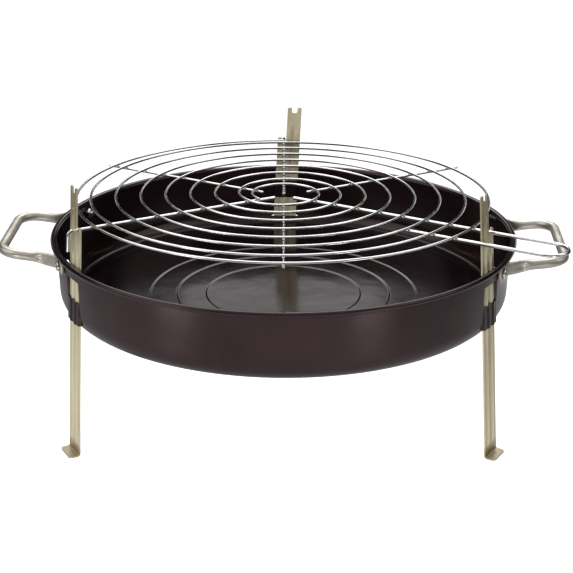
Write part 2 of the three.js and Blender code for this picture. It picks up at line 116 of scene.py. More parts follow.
DIMPLE_RISE = 0.7
TIP_R = 1.5
LIP_TIP_R = 3.2
NOTCH_ROUND = 1.0
FORK_ROUND = 1.3
# The grid spoke each leg carries, in degrees, and the leg's sideways lean.
LEGS = {"leg_left": (210, 0.0), "leg_right": (330, 2.7), "leg_rear": (90, 2.7)}

SPOKE_R = 1.35
WIRE_R = 1.0
# Azimuth of the spiral's outer weld, and the degrees it winds inward from it and runs on past it.
SPIRAL_START = 210
SPIRAL_WINDING = 3000
SPIRAL_OVERHANG = 9
SPIRAL_PITCH = 19.1
SPIRAL_BASE_R = 13.45
SPIRAL_INNER_R = 24.0
SPIRAL_OUTER_R = 159.4
PLAIN_Z = SPIRAL_Z - 2 * WIRE_R - 0.04
HOOK_BEND = 3.0
HOOK_R = 177.5
HOOK_LEAN = 1.0  # the hook's end stands out this much
# Azimuth, inner end and, for the plain ones, outer end of each spoke.
PLAIN_SPOKES = {
    "spoke_front": (270, 20.8, 162),
    "spoke_left_back": (150, 18.2, 168),
    "spoke_right_back": (30, 20.3, 167),
}
SUPPORT_SPOKES = {"spoke_rear": (90, 5.5), "spoke_left_front": (210, 8.4)}
HAIRPIN_AZIMUTH = 330
HAIRPIN_INNER = 8.2
HAIRPIN_REACH = 220.0
HAIRPIN_WIDTH = 27.0
HAIRPIN_RETURN = 117.0
WELD_REACH = 165.0  # the hairpin carries no weld beyond this
WELD_HALF = (1.5, 1.25, 0.75)

# Azimuth of each handle and the names of its ends in order of azimuth.
HANDLES = {"left": (180, ("rear", "front")), "right": (356, ("front", "rear"))}
HANDLE_LIFT = 3.4
HANDLE_BAR_R = 213.5
HANDLE_HALF = 46.5
HANDLE_FLARE = 15.0
TUBE_R = 3.8
TAB_HALF_THICK = 1.3
TAB_HALF_TALL = 5.05
TAB_REACH = 6.2
TAB_BACK = 9.0
TAB_GAP = 0.15  # between the wall and a tab
HANDLE_BENDS = (4.5, 14.0, 16.0)  # radii from the tab to the bar
FLATTENING = (8.0, 23.0)  # past the tab's bend, where the flat tab turns into round tube
CREASE_DEPTH = 0.9
SCREW_ANGLE = 21.3
SCREW_R = 2.0
SCREW_HEAD_R = 3.9
SCREW_HEAD_RISE = 2.6
SCREW_HEAD_SIDE = 0.7  # height of the head's upright side
SCREW_SPIN = 31  # degrees the recess is turned
SCREW_TAIL = 2.5  # shank beyond the nut
THREAD_PITCH = 0.7
THREAD_DEPTH = 0.2
RECESS_DEPTH = 1.1
RECESS_HALF_WIDTH = 0.62
RECESS_HALF_LENGTH = 2.0
NUT_R = 4.04
NUT_THICK = 3.2
NUT_GAP = 0.7
NUT_CHAMFER = 0.5
NUT_CHAMFER_SLOPE = 1.8

# ---- Small maths ----


def smooth(t):
    """0 below 0, 1 above 1, an S between."""
    t = np.clip(t, 0.0, 1.0)
    return t * t * (3 - 2 * t)


def spans(start, *stretches):
    """Values from start through each stretch (end, step), every stretch cut into equal parts."""
    values = [start]
    for end, step in stretches:
        count = max(1, round(abs(end - values[-1]) / step))
        values.extend(np.linspace(values[-1], end, count + 1)[1:])
    return np.array(values)


def arc(centre, radius, start, end, count):
    """Points on a circle between two angles in degrees."""
    angle = np.radians(np.linspace(start, end, count + 1))
    x = centre[0] + radius * np.cos(angle)
    return np.stack([x, centre[1] + radius * np.sin(angle)], -1)


def rounded_path(corners, radii, spacing=1.0):
    """A flat line through corners, each turned with its own radius, as evenly spaced points."""
    corners = [np.array(c, float) for c in corners]
    points = [corners[0]]
    for before, here, after, radius in zip(corners, corners[1:], corners[2:], radii):
        into = (here - before) / np.linalg.norm(here - before)
        out = (after - here) / np.linalg.norm(after - here)
        turn = math.atan2(into[0] * out[1] - into[1] * out[0], into @ out)
        reach = radius * math.tan(abs(turn) / 2)
        start = here - into * reach
        normal = np.array([-into[1], into[0]]) * math.copysign(1, turn)
        centre = start + normal * radius
        for angle in np.linspace(0, turn, 13):
            c, s = math.cos(angle), math.sin(angle)
            arm = start - centre
            points.append(centre + [c * arm[0] - s * arm[1], s * arm[0] + c * arm[1]])
    points.append(corners[-1])
    points = np.array(points)
    length = np.concatenate([[0], np.cumsum(np.linalg.norm(np.diff(points, axis=0), axis=1))])
    even = np.linspace(0, length[-1], max(2, round(length[-1] / spacing)) + 1)
    return np.stack([np.interp(even, length, points[:, k]) for k in (0, 1)], -1)


def turned(points, azimuth):
    """Points turned about the bowl's axis."""
    a = math.radians(azimuth)
    x, y, z = points[..., 0], points[..., 1], points[..., 2]
    c, s = math.cos(a), math.sin(a)
    return np.stack([c * x - s * y, s * x + c * y, z], -1)


# ---- Mesh building ----


def piece(name, points, faces, looks, body, nodes, sharp=38, bevel=0.0):
    """One visible mesh made from points in mm, riding on a CAD body.

    sharp is the angle in degrees above which an edge stays crisp; bevel is in mm.
    """
    mesh = bpy.data.meshes.new(name)
    mesh.from_pydata((np.asarray(points) * MM).tolist(), [], [face[0] for face in faces])
    mesh.polygons.foreach_set("material_index", [face[1] for face in faces])
    for look in looks:
        mesh.materials.append(look)
    tidy = bmesh.new()
    tidy.from_mesh(mesh)
    bmesh.ops.remove_doubles(tidy, verts=tidy.verts, dist=2e-6)
    loose = [v for v in tidy.verts if not v.link_faces]
    bmesh.ops.delete(tidy, geom=loose, context="VERTS")
    bmesh.ops.recalc_face_normals(tidy, faces=tidy.faces)
    tidy.to_mesh(mesh)
    tidy.free()
    mesh.shade_smooth()
    mesh.set_sharp_from_angle(angle=math.radians(sharp))
    obj = bpy.data.objects.new(name, mesh)
    bpy.context.scene.collection.objects.link(obj)
    if bevel:
        edge = obj.modifiers.new("edge", "BEVEL")
        edge.width = bevel * MM
        edge.segments = 2
        edge.limit_method = "ANGLE"
        edge.angle_limit = math.radians(sharp)
    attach(obj, body)
    if nodes:
        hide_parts(*nodes)


def sheet(front, back, present, wrap=False, back_look=0):
    """Sheet metal between two grids of points, with sides wherever a cell is absent.

    wrap joins the last column to the first; back_look is the material slot of the back.
    """
    rows, columns = front.shape[:2]
    count = rows * columns
    cells = columns if wrap else columns - 1
    faces = []

    def here(i, j):
        """Whether there is a cell at row i and column j."""
        inside = 0 <= i < rows - 1 and (wrap or 0 <= j < cells)
        return inside and present[i, j % columns]

    for i in range(rows - 1):
        for j in range(cells):
            if not present[i, j]:
                continue
            after = (j + 1) % columns
            a, b = i * columns + j, i * columns + after
            c, d = b + columns, a + columns
            faces.append(((a, b, c, d), 0))
            faces.append(((count + d, count + c, count + b, count + a), back_look))
            beside = ((i - 1, j), (i, j + 1), (i + 1, j), (i, j - 1))
            for (p, q), (u, v) in zip(((a, b), (b, c), (c, d), (d, a)), beside):
                if not here(u, v):
                    faces.append(((q, p, count + p, count + q), 0))
    points = np.concatenate([front.reshape(-1, 3), back.reshape(-1, 3)])
    return points, faces


def closed_tube(rings):
    """Quads over a list of rings of points, with a fan over each end."""
    rings = np.asarray(rings)
    count, sides = rings.shape[:2]
    faces = []
    for i in range(count - 1):
        for j in range(sides):
            a, b = i * sides + j, i * sides + (j + 1) % sides
            faces.append(((a, b, b + sides, a + sides), 0))
    for ring, tip in ((0, count * sides), (count - 1, count * sides + 1)):
        for j in range(sides):
            faces.append(((ring * sides + j, ring * sides + (j + 1) % sides, tip), 0))
    tips = np.array([rings[0].mean(0), rings[-1].mean(0)])
    return np.concatenate([rings.reshape(-1, 3), tips]), faces


def sweep(path, across, radius, sides, dome=0.6, section=None):
    """A wire along a path that turns about one fixed direction, with softly domed ends.

    section(i, angle) may give each station its own outline as two half sizes; across is the
    direction of the first of them.
    """
    path = np.asarray(path, float)
    along = np.gradient(path, axis=0)
    along /= np.linalg.norm(along, axis=1)[:, None]
    across = np.array(across, float)
    angle = 2 * np.pi * np.arange(sides) / sides
    ease = np.radians(np.linspace(80, 0, 6))
    stations = [(0, -np.sin(t), np.cos(t)) for t in ease[:-1]]
    stations += [(i, 0.0, 1.0) for i in range(len(path))]
    stations += [(len(path) - 1, np.sin(t), np.cos(t)) for t in ease[:-1][::-1]]
    rings = []
    for i, out, size in stations:
        up = np.cross(along[i], across)
        up /= np.linalg.norm(up)
        if section is None:
            u, v = radius * np.cos(angle), radius * np.sin(angle)
        else:
            u, v = section(i, angle)
        at = path[i] + along[i] * out * dome * radius
        rings.append(at + size * (u[:, None] * across + v[:, None] * up))
    return closed_tube(rings)


def joined(parts):
    """Several (points, faces) lists as one."""
    points, faces, offset = [], [], 0
    for part_points, part_faces in parts:
        points.append(part_points)
        faces += [(tuple(v + offset for v in face), look) for face, look in part_faces]
        offset += len(part_points)
    return np.concatenate(points), faces


# ---- Node materials ----


class Look:
    """A node material with a few shorthands."""

    def __init__(self, name, **inputs):
        self.material = bpy.data.materials.new(name)
        self.material.use_nodes = True
        self.tree = self.material.node_tree
        self.shader = self.tree.nodes["Principled BSDF"]
        self.place = self.node("ShaderNodeTexCoord").outputs["Object"]
        for key, value in inputs.items():
            self.shader.inputs[key.replace("_", " ")].default_value = value

    def node(self, kind, **settings):
        """A new node; in_0, in_1 and so on feed its inputs by number."""
        made = self.tree.nodes.new(kind)
        for key, value in settings.items():
            if key.startswith("in_"):
                self.feed(made.inputs[int(key[3:])], value)
            else:
                setattr(made, key, value)
        return made

    def feed(self, socket, value):
        """Links a node's output to a socket, or sets the socket's own value."""
        if isinstance(value, bpy.types.NodeSocket):
            self.tree.links.new(value, socket)
        else:
            socket.default_value = value

    def set(self, name, value):
        """Feeds one input of the surface shader."""
        self.feed(self.shader.inputs[name], value)

    def noise(self, scale, detail=4.0, stretch=(1, 1, 1), distortion=0.0):
        """Noise over the piece; scale is features per metre, stretch above 1 squeezes that axis."""
        place = self.node("ShaderNodeMapping", in_0=self.place, in_3=stretch).outputs[0]
        made = self.node("ShaderNodeTexNoise")
        self.feed(made.inputs["Vector"], place)
        made.inputs["Scale"].default_value = scale
        made.inputs["Detail"].default_value = detail
        made.inputs["Distortion"].default_value = distortion
        return made.outputs["Fac"]

    def ramp(self, value, *stops):
        """Colours or greys by value: stops are (position, colour)."""
        made = self.node("ShaderNodeValToRGB", in_0=value)
        ramp = made.color_ramp
        while len(ramp.elements) < len(stops):
            ramp.elements.new(0.5)
        for element, (position, colour) in zip(ramp.elements, stops):
            element.position = position
            grey = not isinstance(colour, tuple)
            element.color = (colour,) * 3 + (1,) if grey else (*colour, 1)
        return made.outputs["Color"]

    def mix(self, share, a, b):
        """Colour a, and b where share is 1."""
        made = self.node("ShaderNodeMix", data_type="RGBA", in_0=share)
        for index, colour in ((6, a), (7, b)):
            self.feed(made.inputs[index], (*colour, 1) if isinstance(colour, tuple) else colour)
        return made.outputs[2]

    def math(self, operation, a, b=0.0, c=0.0):
        """One Math node on numbers or node outputs."""
        return self.node("ShaderNodeMath", operation=operation, in_0=a, in_1=b, in_2=c).outputs[0]

    def axis(self, index):
        """One coordinate of the place on the piece, in metres."""
        return self.node("ShaderNodeSeparateXYZ", in_0=self.place).outputs[index]

    def bump(self, *layers):
        """Layers of (height, depth in mm), each on top of the one before."""
        normal = None
        for height, depth in layers:
            made = self.node("ShaderNodeBump")
            made.inputs["Strength"].default_value = 1.0
            made.inputs["Distance"].default_value = depth * MM
            self.feed(made.inputs["Height"], height)
            if normal is not None:
                self.feed(made.inputs["Normal"], normal)
            normal = made.outputs[0]
        self.set("Normal", normal)


def enamel(name, dark, light, rough, tint):
    """Stove enamel: a glassy coat with orange peel, faint clouds and fine specks.

    dark and light are the two colours of the clouds; tint colours what the coat mirrors.
    """
    look = Look(name, IOR=1.5, Specular_Tint=(*tint, 1))
    clouds = look.noise(14, 5)
    specks = look.ramp(look.noise(1500, 2), (0.68, 0.0), (0.78, 1.0))
    base = look.mix(look.ramp(clouds, (0.35, 0.0), (0.7, 1.0)), dark, light)
    pale = tuple(min(1.0, 2.4 * c) for c in light)
    look.set("Base Color", look.mix(look.math("MULTIPLY", specks, 0.35), base, pale))
    smudge = look.noise(38, 6)
    look.set("Roughness", look.ramp(smudge, (0.3, rough * 0.85), (0.75, rough * 1.25)))
    look.bump((look.noise(30, 2), 0.25), (look.noise(420, 2), 0.012))
    return look.material


def foot_darkening_and_rust(look, base):
    """Darkens the colour over the lowest 12 mm, with rusty patches."""
    rise = look.math("MULTIPLY_ADD", look.axis(2), 1 / (12 * MM), -TABLE_Z / 12)
    near_foot = look.ramp(rise, (0.08, 0.45), (0.2, 1.0), (0.42, 0.75), (0.9, 0.0))
    base = look.mix(look.math("MULTIPLY", near_foot, 0.75), base, (0.12, 0.10, 0.065))
    patches = look.ramp(look.noise(170, 3), (0.40, 0.25), (0.60, 1.0))
    rusty = look.math("MULTIPLY", near_foot, look.math("MULTIPLY", patches, 0.5))
    return look.mix(rusty, base, (0.34, 0.15, 0.05))


def painted_shade_on_front_tops(look, base):
    """Paints shade on the front legs from a little below the grid upwards: a darker brown standing in for
    the dark bowl they mirror.
    """
    rise = look.math("MULTIPLY_ADD", look.axis(2), 1 / (30 * MM), (12 - SPOKE_Z) / 30)
    in_front = look.math("LESS_THAN", look.axis(1), 0.0)
    # Painted shade goes only on the legs in front of the axis.
    front_top_shade = look.math("MULTIPLY", look.ramp(rise, (0.0, 0.0), (0.6, 0.65)), in_front)
    return look.mix(front_top_shade, base, (0.20, 0.16, 0.09))


def yellow_zinc():
    """Yellow-passivated zinc on rolled strip: an olive-gold film with rolling lines, and painted shade on
    the front legs' tops.
    """
    look = Look("yellow_zinc", Metallic=0.66, IOR=1.5)
    film = look.noise(32, 4, (1, 1, 0.25), 0.6)
    gold, olive, straw = (0.59, 0.53, 0.36), (0.50, 0.46, 0.32), (0.68, 0.61, 0.44)
    base = look.ramp(film, (0.3, olive), (0.52, gold), (0.72, straw))
    tint = look.ramp(look.noise(75, 3, (1, 1, 0.4)), (0.5, 0.0), (0.75, 1.0))
    base = look.mix(look.math("MULTIPLY", tint, 0.2), base, (0.52, 0.38, 0.33))
    streaks = look.ramp(look.noise(420, 3, (1, 1, 0.03)), (0.45, 0.0), (0.7, 1.0))
    base = look.mix(look.math("MULTIPLY", streaks, 0.22), base, (0.26, 0.22, 0.13))
    stains = look.ramp(look.noise(240, 5), (0.62, 0.0), (0.74, 1.0))
    base = look.mix(look.math("MULTIPLY", stains, 0.25), base, (0.22, 0.18, 0.10))
    base = foot_darkening_and_rust(look, base)
    # Painted shade darkens the front legs' tops.
    look.set("Base Color", painted_shade_on_front_tops(look, base))
    look.set("Roughness", look.ramp(film, (0.3, 0.38), (0.7, 0.28)))
    lines = look.noise(900, 2, (1, 1, 0.02))
    look.bump((look.noise(60, 2), 0.05), (lines, 0.010))
    return look.material


def chrome():
    """Bright chrome on drawn wire, with faint draw marks and weld haze."""
    look = Look("chrome_wire", Metallic=1.0)
    haze = look.noise(90, 4)
    grey, white = (0.76, 0.76, 0.75), (0.90, 0.90, 0.89)
    look.set("Base Color", look.ramp(haze, (0.35, grey), (0.65, white)))
    look.set("Roughness", look.ramp(look.noise(260, 4), (0.35, 0.07), (0.75, 0.2)))
    look.bump((look.noise(300, 2), 0.006))
    return look.material


def satin_nickel():
    """Satin nickel on bent tube: warm, brushed, a little cloudy."""
    look = Look("nickel_tube", Metallic=0.95)
    clouds = look.noise(55, 5)
    dull, fair, pale = (0.47, 0.435, 0.375), (0.59, 0.56, 0.495), (0.68, 0.645, 0.575)
    base = look.ramp(clouds, (0.3, dull), (0.55, fair), (0.75, pale))
    spots = look.ramp(look.noise(420, 3), (0.66, 0.0), (0.74, 1.0))
    look.set("Base Color", look.mix(look.math("MULTIPLY", spots, 0.35), base, (0.28, 0.25, 0.20)))
    look.set("Roughness", look.ramp(look.noise(130, 5), (0.3, 0.34), (0.75, 0.48)))
    look.bump((look.noise(110, 3), 0.04), (look.noise(1600, 2), 0.006))
    return look.material


def bright_zinc():
    """Blue-white bright zinc on the screws and nuts."""
    look = Look("bright_zinc", Metallic=1.0)
    bluish, white = (0.62, 0.64, 0.66), (0.84, 0.84, 0.83)
    look.set("Base Color", look.ramp(look.noise(500, 4), (0.35, bluish), (0.7, white)))
    look.set("Roughness", look.ramp(look.noise(900, 3), (0.35, 0.15), (0.75, 0.32)))
    look.bump((look.noise(1200, 3), 0.012))
    return look.material


ENAMEL_OUT = enamel(
    "enamel_outside", dark=(0.0045, 0.002, 0.0025), light=(0.010, 0.005, 0.006), rough=0.25,
    tint=(1.0, 0.80, 0.82),
)
ENAMEL_IN = enamel(
    "enamel_inside", dark=(0.004, 0.002, 0.0025), light=(0.008, 0.0045, 0.005), rough=0.13,
    tint=(1.0, 0.78, 0.80),
)
ZINC = yellow_zinc()
CHROME = chrome()
NICKEL = satin_nickel()
BRIGHT_ZINC = bright_zinc()

# ---- Leg frame ----
# Local x runs along the strip's width, clockwise about the bowl, y outward and z up.


def leg_azimuth(spoke):
    """Azimuth of a leg's middle when the spoke lies in its notch."""
    return spoke + math.degrees(math.asin(NOTCH_AT / LEG_GRID_R))


def leg_to_world(points, leg):
    """From a leg's own frame to the row frame."""
    spoke, lean = LEGS[leg]
    x, y, z = points[..., 0], points[..., 1], points[..., 2]
    rise = z - SPOKE_Z
    across = x + rise * math.tan(math.radians(lean))
    out = LEG_GRID_R + y - rise * math.tan(math.radians(LEG_SPLAY))
    return turned(np.stack([across, out, z], -1), leg_azimuth(spoke) - 90)


def world_to_leg(points, leg):
    """From the row frame to a leg's own frame."""
    spoke, lean = LEGS[leg]
    flat = turned(points, 90 - leg_azimuth(spoke))
    x, y, z = flat[..., 0], flat[..., 1], flat[..., 2]
    rise = z - SPOKE_Z
    across = x - rise * math.tan(math.radians(lean))
    out = y - LEG_GRID_R + rise * math.tan(math.radians(LEG_SPLAY))
    return np.stack([across, out, z], -1)


def flute_height(x, z):
    """How far the leg's flutes stand out at local x and height z."""
    height = np.zeros(np.broadcast(x, z).shape)
    for at, top in FLUTES:
        past = np.maximum(0, z - (top - 4)) + np.maximum(0, FLUTE_END_Z + 4 - z)
        away = np.sqrt(((x - at) / FLUTE_HALF) ** 2 + (past / FLUTE_TAPER) ** 2 + 0.008)
        height = np.maximum(height, np.clip(1.06 - away, 0, 1) ** FLUTE_SHARPNESS)
    return FLUTE_RISE * height


# ---- Fire bowl ----


def wall_radius(z):
    """Outer radius of the bowl at height z."""
    if z < CORNER_Z:
        return CORNER_CENTRE_R + math.sqrt(CORNER_R ** 2 - (CORNER_Z - z) ** 2)
    share = (z - CORNER_Z) / (RIM_Z - RIM_BEAD_R - CORNER_Z)
    return WALL_LOW_R + (WALL_TOP_R - WALL_LOW_R) * share


def floor_height(radius):
    """Height of the floor's underside, which steps up outward."""
    rise = [smooth((radius - at) / STEP_WIDTH + 0.5) for at in FLOOR_STEP_RADII]
    return FLOOR_STEP * sum(rise)


def bowl_profile():
    """Outer and inner line of the bowl's section, with the same number of points."""
    stretches = []
    for at in FLOOR_STEP_RADII:
        stretches += [(at - 1.5, 7), (at + 1.5, 0.3)]
    radii = spans(0, *stretches, (CORNER_CENTRE_R, 8))
    height = floor_height(radii)
    outer = [np.stack([radii, height], -1)]
    inner = [np.stack([radii, height + SHEET], -1)]

    edges = (LOWER_STRAP[0] - SLIT, LOWER_STRAP[0], LOWER_STRAP[1], UPPER_STRAP[0])
    edges += (UPPER_STRAP[1], UPPER_STRAP[1] + SLIT)
    sweep_angles = np.radians(np.linspace(-82, 0, 12))
    heights = [CORNER_Z + CORNER_R * math.sin(a) for a in sweep_angles]
    heights += list(np.arange(CORNER_Z + 2, RIM_Z - RIM_BEAD_R - 0.5, 2))
    heights = [z for z in heights if min(abs(z - edge) for edge in edges) > 0.5]
    for z in sorted([*heights, *edges, RIM_Z - RIM_BEAD_R]):
        r = wall_radius(z)
        slope = math.asin(min(0.0, z - CORNER_Z) / CORNER_R)
        outer.append(np.array([[r, z]]))
        inner.append(np.array([[r - SHEET * math.cos(slope), z - SHEET * math.sin(slope)]]))

    bead = (RIM_OUTER_R - RIM_BEAD_R, RIM_Z)
    lip = (WALL_TOP_R - SHEET + LIP_R, RIM_Z + RIM_BEAD_R - LIP_R)
    outer.append(arc(bead, RIM_BEAD_R, *RIM_TURN, 20))
    inner.append(arc(lip, LIP_R, 180, 90, 20))
    return np.concatenate(outer), np.concatenate(inner)


def bowl_columns():
    """Azimuth, leg and share of that leg's sideways lean, for each column of the bowl's mesh."""
    near = spans(-16, (-SLIT_HALF, 1.2), (SLIT_HALF, 0.7), (16, 1.2))
    columns = []
    legs = sorted(LEGS, key=lambda leg: leg_azimuth(LEGS[leg][0]))
    middles = []
    for leg in legs:
        spoke, lean = LEGS[leg]
        offset = math.tan(math.radians(lean)) * (LOWER_STRAP[1] - SPOKE_Z)
        middles.append(leg_azimuth(spoke) - math.degrees(offset / WALL_LOW_R))
    half = math.degrees(near[-1] / WALL_LOW_R)
    for i, leg in enumerate(legs):
        columns += [(middles[i] - math.degrees(x / WALL_LOW_R), leg, 1.0) for x in near[::-1]]
        following = middles[(i + 1) % 3] + (360 if i == 2 else 0)
        gap = spans(middles[i] + half, (following - half, 1.5))[1:-1]
        for azimuth in gap:
            to_here, to_next = azimuth - middles[i] - half, following - half - azimuth
            closest = leg if to_here < to_next else legs[(i + 1) % 3]
            columns.append((azimuth, closest, float(smooth(1 - min(to_here, to_next) / LEAN_FADES_OVER))))
    return columns


def press_strap(front, back, rows, leg):
    """Presses one strap of the wall in or out, along the leg it holds."""
    local = world_to_leg(front, leg)
    x, z = local[..., 0], local[..., 2]
    if rows == UPPER_STRAP:
        face = -LEG_SHEET / 2 - STRAP_CLEARANCE
    else:
        face = LEG_SHEET / 2 + STRAP_CLEARANCE + STRAP_FOLD * flute_height(x, z) + SHEET
    weight = smooth((SLIT_HALF - 0.1 - np.abs(x)) / (SLIT_HALF - 0.1 - STRAP_FLAT))
    inside = (z > rows[0] - 0.05) & (z < rows[1] + 0.05) & (np.abs(local[..., 1]) < STRAP_NEAR)
    weight = np.where(inside, weight, 0)
    pressed = local.copy()
    pressed[..., 1] += weight * (face - local[..., 1])
    behind = world_to_leg(back, leg)
    target = pressed - [0, SHEET, 0]
    behind += weight[..., None] * (target - behind)
    return leg_to_world(pressed, leg), leg_to_world(behind, leg)


def slit_cells(front, outer):
    """Which cells of the bowl's mesh are cut away above the upper strap and below the lower one.

    The two straps stay joined by a narrow band of the sheet, and each leg runs through that band.
    """
    slits = [LOWER_STRAP[0] - SLIT / 2, UPPER_STRAP[1] + SLIT / 2]
    cell_z = (outer[:-1, 1] + outer[1:, 1])[:, None] / 2
    by_slit = np.any([np.abs(cell_z - z) < SLIT / 4 for z in slits], axis=0)
    by_slit = by_slit & (outer[:-1, 0] > CORNER_CENTRE_R + SLIT_SEARCH)[:, None]
    cut = np.zeros((len(outer) - 1, front.shape[1]), bool)
    for leg in LEGS:
        local = world_to_leg(front, leg)[:-1]
        cell_x = (local[..., 0] + np.roll(local[..., 0], -1, axis=1)) / 2
        at_leg = (np.abs(local[..., 1]) < STRAP_NEAR) & (np.abs(cell_x) < SLIT_HALF)
        cut |= by_slit & at_leg
    return cut


def make_bowl():
    """The whole enamelled sheet, revolved, slit, pressed at the straps and rolled at the rim."""
    outer, inner = bowl_profile()
    columns = bowl_columns()
    azimuths = np.array([c[0] for c in columns])
    lean = np.array([math.tan(math.radians(LEGS[c[1]][1])) * c[2] for c in columns])

    def revolved(profile):
        """A section line at every column, moved sideways to follow the legs' lean."""
        z = profile[:, 1][:, None]
        shift = lean[None, :] * (np.clip(z, CORNER_Z - CORNER_R, None) - LOWER_STRAP[1])
        angle = np.radians(azimuths[None, :]) - shift / WALL_LOW_R
        r = profile[:, 0][:, None]
        return np.stack([r * np.cos(angle), r * np.sin(angle), z + 0 * angle], -1)

    front, back = revolved(outer), revolved(inner)
    present = ~slit_cells(front, outer)
    wall = slice(0, int(np.argmax(outer[:, 1] > UPPER_STRAP[1] + 0.3)))
    for leg in LEGS:
        for rows in (UPPER_STRAP, LOWER_STRAP):
            a, b = press_strap(front[wall], back[wall], rows, leg)
            front[wall], back[wall] = a, b
    points, faces = sheet(front, back, present, wrap=True, back_look=1)
    rim_top = RIM_Z + 0.5
    faces = [
        (face, 1 if look == 0 and min(points[v][2] for v in face) > rim_top else look)
        for face, look in faces
    ]
    looks = (ENAMEL_OUT, ENAMEL_IN)
    piece("bowl_enamelled", points, faces, looks, "bowl", ["fire_bowl"], 40, 0.1)


# ---- Legs ----


def leg_outline(x, s):
    """Rounds the strip's corners and hollows: x across it, s up it before the foot is bent."""
    lip_end = s.min()
    corners = [(NOTCH_FROM, SIDE_PRONG_Z, 1, 1, TIP_R), (-LEG_HALF, SIDE_PRONG_Z, -1, 1, TIP_R)]
    corners += [(NARROW_FROM, LEG_TOP_Z, -1, 1, TIP_R), (FORK[0], LEG_TOP_Z, 1, 1, TIP_R)]
    corners += [(FORK[1], LEG_TOP_Z, -1, 1, TIP_R), (LEG_HALF, LEG_TOP_Z, 1, 1, TIP_R)]
    corners += [(side * LEG_HALF, lip_end, side, -1, LIP_TIP_R) for side in (-1, 1)]
    new_x, new_s = x.copy(), s.copy()
    for cx, cs, side_x, side_s, r in corners:
        a = (x - (cx - side_x * r)) * side_x / r
        b = (s - (cs - side_s * r)) * side_s / r
        near = (a > 1e-6) & (a < 1 + 1e-6) & (b > 1e-6) & (b < 1 + 1e-6)
        new_x = np.where(near, cx - side_x * r + side_x * r * a * np.sqrt(1 - b * b / 2), new_x)
        new_s = np.where(near, cs - side_s * r + side_s * r * b * np.sqrt(1 - a * a / 2), new_s)
    hollows = [(NOTCH_FROM, NOTCH_Z, 1, NOTCH_ROUND), (NARROW_FROM, NOTCH_Z, -1, NOTCH_ROUND)]
    hollows += [(FORK[0], FORK_Z, 1, FORK_ROUND), (FORK[1], FORK_Z, -1, FORK_ROUND)]
    for cx, cs, side, r in hollows:
        away = np.hypot(x - cx, s - cs) / r
        move = (1 - math.sqrt(0.5)) * r * np.clip(1 - away, 0, 1)
        new_x, new_s = new_x + side * move, new_s + move
    return new_x, new_s


def leg_dimple(x, z):
    """A small punched dot above the longer flute."""
    away = np.hypot(x - FLUTES[0][0], z - FLUTES[0][1] - DIMPLE_ABOVE) / DIMPLE_R
    return DIMPLE_RISE * smooth(1.2 - away)


def leg_grid(bend_z, bend_length):
    """Flat grid of the strip: x across it and s up its length, finer where the shape changes."""
    sides = (NOTCH_FROM, NARROW_FROM, *FORK, LEG_HALF)
    xs = spans(-LEG_HALF, *((x, 0.4) for x in sides))
    long_top, short_top = FLUTES[0][1], FLUTES[1][1]
    ss = spans(
        bend_z - bend_length - (FOOT_LIP - FOOT_BEND),
        (bend_z - bend_length, 0.5), (bend_z, 0.25), (FLUTE_END_Z, 1), (FLUTE_END_Z + 5, 0.5),
        (short_top - 6, 5), (short_top + 1, 0.5), (NOTCH_Z - 1.5, 1.5), (NOTCH_Z, 0.3),
        (SIDE_PRONG_Z, 0.4), (long_top - 5, 1.5), (long_top + 6, 0.4), (FORK_Z - 1.5, 1.5),
        (FORK_Z, 0.4), (LEG_TOP_Z, 0.4),
    )
    return np.meshgrid(xs, ss)


def make_leg(leg):
    """One strip: notch, prongs and fork cut out, flutes pressed in, foot bent outward."""
    bend_z = TABLE_Z + LEG_SHEET / 2 + FOOT_BEND
    bend_length = FOOT_BEND * math.pi / 2
    x, s = leg_grid(bend_z, bend_length)
    mid_x = (x[:-1, :-1] + x[1:, 1:]) / 2
    mid_s = (s[:-1, :-1] + s[1:, 1:]) / 2
    present = ~((mid_s > NOTCH_Z) & (mid_x > NOTCH_FROM) & (mid_x < NARROW_FROM))
    present &= ~((mid_s > SIDE_PRONG_Z) & (mid_x < NARROW_FROM))
    present &= ~((mid_s > FORK_Z) & (mid_x > FORK[0]) & (mid_x < FORK[1]))
    x, s = leg_outline(x, s)

    turn = np.clip((bend_z - s) / FOOT_BEND, 0, math.pi / 2)
    past = np.maximum(0, bend_z - bend_length - s)
    y = FOOT_BEND * (1 - np.cos(turn)) + past
    z = np.where(s > bend_z, s, bend_z - FOOT_BEND * np.sin(turn))
    y = y + np.where(s > bend_z, flute_height(x, s) + leg_dimple(x, s), 0)
    middle = np.stack([x, y, z], -1)
    out = np.stack([0 * x, np.cos(turn), np.sin(turn)], -1) * LEG_SHEET / 2
    points, faces = sheet(middle + out, middle - out, present)
    points = leg_to_world(points, leg)
    piece(f"{leg}_strip", points, faces, (ZINC,), leg, [leg], 45, 0.12)


# ---- Cooking grid ----


def ease_above(value, limit, softness):
    """The value, bending softly so that it never goes below the limit."""
    return limit + softness * np.log1p(np.exp((value - limit) / softness))


def spiral_radius(turned_by):
    """Radius of the spiral after so many degrees: even steps, but round at both ends."""
    even = SPIRAL_BASE_R + SPIRAL_PITCH * turned_by / 360
    return -ease_above(-ease_above(even, SPIRAL_INNER_R, 4), -SPIRAL_OUTER_R, 2)


def make_grid_wire(name, node, path, across, radius, sides, azimuth=0):
    """One wire of the grid along a path, turned to its azimuth."""
    points, faces = sweep(path, across, radius, sides)
    points = turned(points, azimuth)
    piece(name, points, faces, (CHROME,), "grid", [node])


def make_spiral():
    """The spiral wire, wound inward and clockwise seen from above."""
    turned_by = np.arange(-SPIRAL_OVERHANG, SPIRAL_WINDING + 1, 3.0)
    angle = np.radians(SPIRAL_START - turned_by)
    r = spiral_radius(turned_by)
    path = np.stack([r * np.cos(angle), r * np.sin(angle), SPIRAL_Z + 0 * r], -1)
    make_grid_wire("grid_spiral_wire", "grid_spiral", path, (0, 0, 1), WIRE_R, 14)


